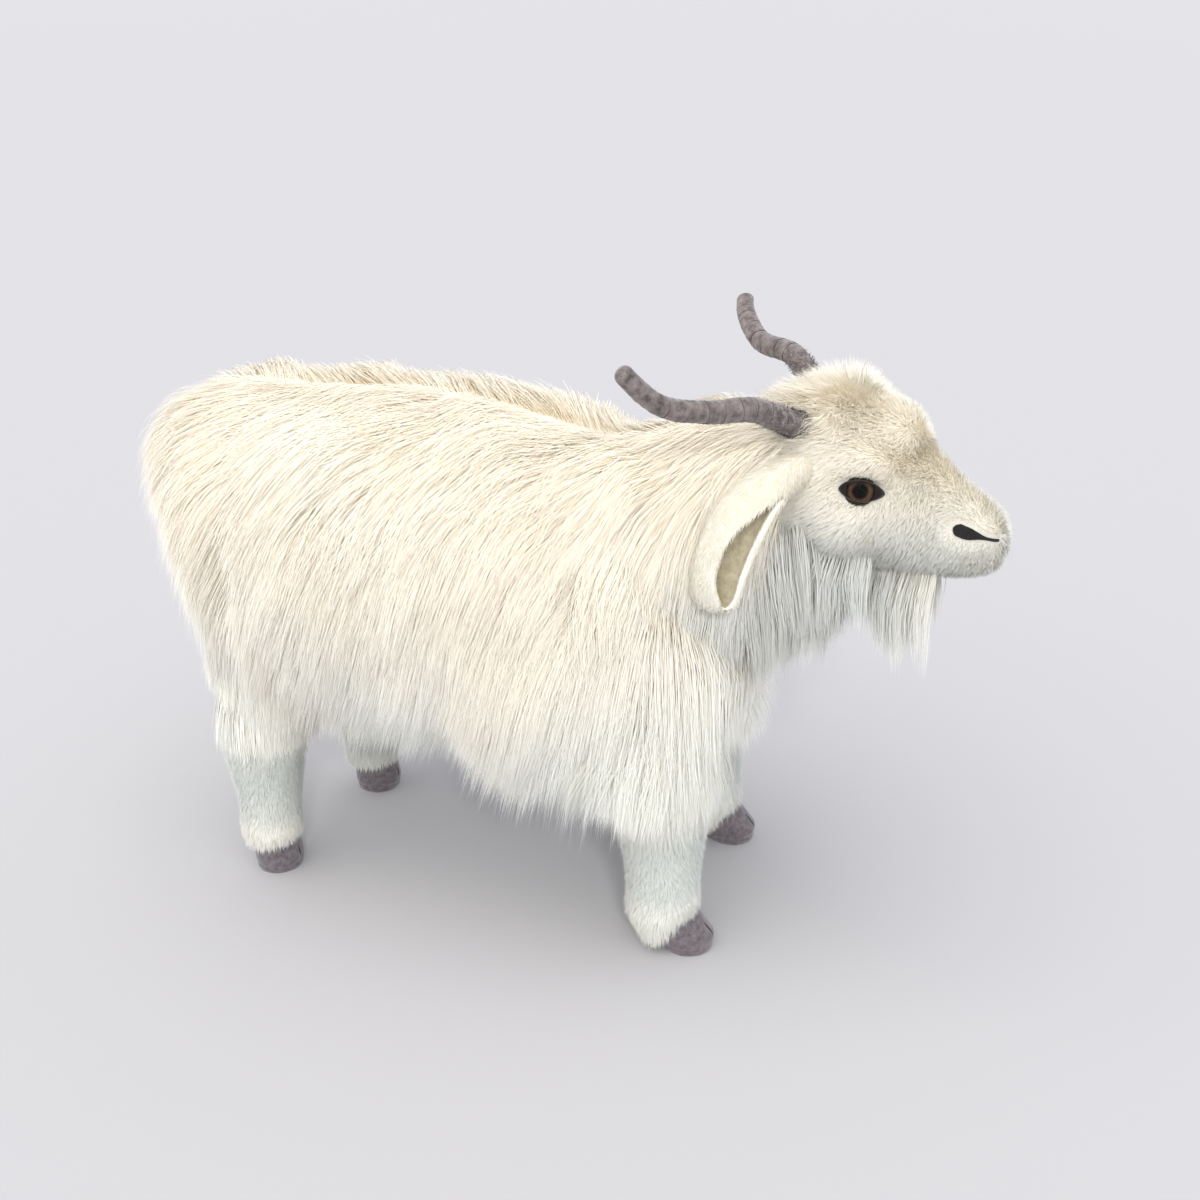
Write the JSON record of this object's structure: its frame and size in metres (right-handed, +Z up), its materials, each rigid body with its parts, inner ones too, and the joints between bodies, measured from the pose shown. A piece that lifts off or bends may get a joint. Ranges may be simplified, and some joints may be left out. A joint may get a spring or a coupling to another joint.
{
  "type": "plush goat",
  "caption": "Standing long-haired plush goat with cloth horns and hooves, a wire frame inside, and a neck, head, ears, tail and legs that bend.",
  "frame": {"origin": "centre of the bounding box at ground level, under the belly", "axes": "+X towards the muzzle, +Y to the goat's left, +Z up"},
  "size_m": [0.409, 0.1664, 0.277],
  "materials": {
    "long_pile": "long-pile plush, 40 to 60 mm, combed down",
    "wispy_pile": "long thin pile",
    "short_pile": "short plush, 6 to 12 mm",
    "stuffing": "polyester fibre filling",
    "frame_wire": "drawn steel wire",
    "horn_cloth": "grey suede cloth, mottled",
    "horn_thread": "dark sewing thread",
    "hoof_cloth": "grey suede cloth",
    "ear_lining": "shaved plush, shaded",
    "eye_lens": "clear acrylic dome, polished",
    "eye_iris": "painted brown disc with a black pupil",
    "eye_plastic": "black moulded cup and shank",
    "washer_plastic": "moulded star washer",
    "lid_cloth": "dark fabric rim",
    "black_thread": "satin stitch",
    "mouth_thread": "single thread",
    "pale_thread": "ladder stitch"
  },
  "bodies": {
    "torso": {"coat_left": "long_pile", "coat_right": "long_pile", "belly_panel": "short_pile", "torso_stuffing": "stuffing", "spine_frame": "frame_wire", "closing_stitches": "pale_thread"},
    "tail": {"tail": "long_pile"},
    "neck": {"neck_coat": "long_pile", "neck_stuffing": "stuffing", "neck_wire": "frame_wire", "throat_mane": "wispy_pile"},
    "head": {"face_left": "short_pile", "face_right": "short_pile", "forehead_gusset": "short_pile", "head_stuffing": "stuffing", "crown_tuft": "long_pile", "beard": "wispy_pile", "nostril_stitches": "black_thread", "mouth_stitch": "mouth_thread", "eye_lens_left": "eye_lens", "eye_lens_right": "eye_lens", "eye_iris_left": "eye_iris", "eye_iris_right": "eye_iris", "eye_posts": "eye_plastic", "eye_washers": "washer_plastic", "eyelid_left": "lid_cloth", "eyelid_right": "lid_cloth", "horn_cover_left": "horn_cloth", "horn_cover_right": "horn_cloth", "horn_wire_left": "frame_wire", "horn_wire_right": "frame_wire", "horn_rings_left": "horn_thread", "horn_rings_right": "horn_thread"},
    "ear_left": {"ear_back_left": "short_pile", "ear_lining_left": "ear_lining"},
    "ear_right": {"ear_back_right": "short_pile", "ear_lining_right": "ear_lining"},
    "foreleg_right": {"foreleg_right_cuff": "long_pile", "foreleg_right_sleeve": "short_pile", "foreleg_right_stuffing": "stuffing", "foreleg_right_wire": "frame_wire", "foreleg_right_hoof": "hoof_cloth"},
    "foreleg_left": {"foreleg_left_cuff": "long_pile", "foreleg_left_sleeve": "short_pile", "foreleg_left_stuffing": "stuffing", "foreleg_left_wire": "frame_wire", "foreleg_left_hoof": "hoof_cloth"},
    "hindleg_right": {"hindleg_right_cuff": "long_pile", "hindleg_right_sleeve": "short_pile", "hindleg_right_stuffing": "stuffing", "hindleg_right_wire": "frame_wire", "hindleg_right_hoof": "hoof_cloth"},
    "hindleg_left": {"hindleg_left_cuff": "long_pile", "hindleg_left_sleeve": "short_pile", "hindleg_left_stuffing": "stuffing", "hindleg_left_wire": "frame_wire", "hindleg_left_hoof": "hoof_cloth"}
  },
  "joints": [
    {"name": "neck_bend", "type": "hinge", "parent": "torso", "child": "neck", "pos_m": [0.062, 0, 0.188], "axis": [0, -1, 0], "range_deg": [-8, 12]},
    {"name": "head_turn", "type": "hinge", "parent": "neck", "child": "head", "pos_m": [0.122, 0, 0.214], "axis": [0, 0, 1], "range_deg": [-15, 15]},
    {"name": "ear_left_flop", "type": "hinge", "parent": "head", "child": "ear_left", "pos_m": [0.12, 0.031, 0.225], "axis": [1, 0, 0], "range_deg": [0, 65]},
    {"name": "ear_right_flop", "type": "hinge", "parent": "head", "child": "ear_right", "pos_m": [0.12, -0.031, 0.225], "axis": [-1, 0, 0], "range_deg": [0, 65]},
    {"name": "tail_lift", "type": "hinge", "parent": "torso", "child": "tail", "pos_m": [-0.191, 0, 0.208], "axis": [0, 1, 0], "range_deg": [0, 70]},
    {"name": "foreleg_right_swing", "type": "hinge", "parent": "torso", "child": "foreleg_right", "pos_m": [0.066, -0.038, 0.1], "axis": [0, -1, 0], "range_deg": [-10, 10]},
    {"name": "foreleg_left_swing", "type": "hinge", "parent": "torso", "child": "foreleg_left", "pos_m": [0.0645, 0.038, 0.1], "axis": [0, -1, 0], "range_deg": [-10, 10]},
    {"name": "hindleg_right_swing", "type": "hinge", "parent": "torso", "child": "hindleg_right", "pos_m": [-0.131, -0.034, 0.1], "axis": [0, -1, 0], "range_deg": [-10, 10]},
    {"name": "hindleg_left_swing", "type": "hinge", "parent": "torso", "child": "hindleg_left", "pos_m": [-0.116, 0.034, 0.1], "axis": [0, -1, 0], "range_deg": [-10, 10]}
  ]
}
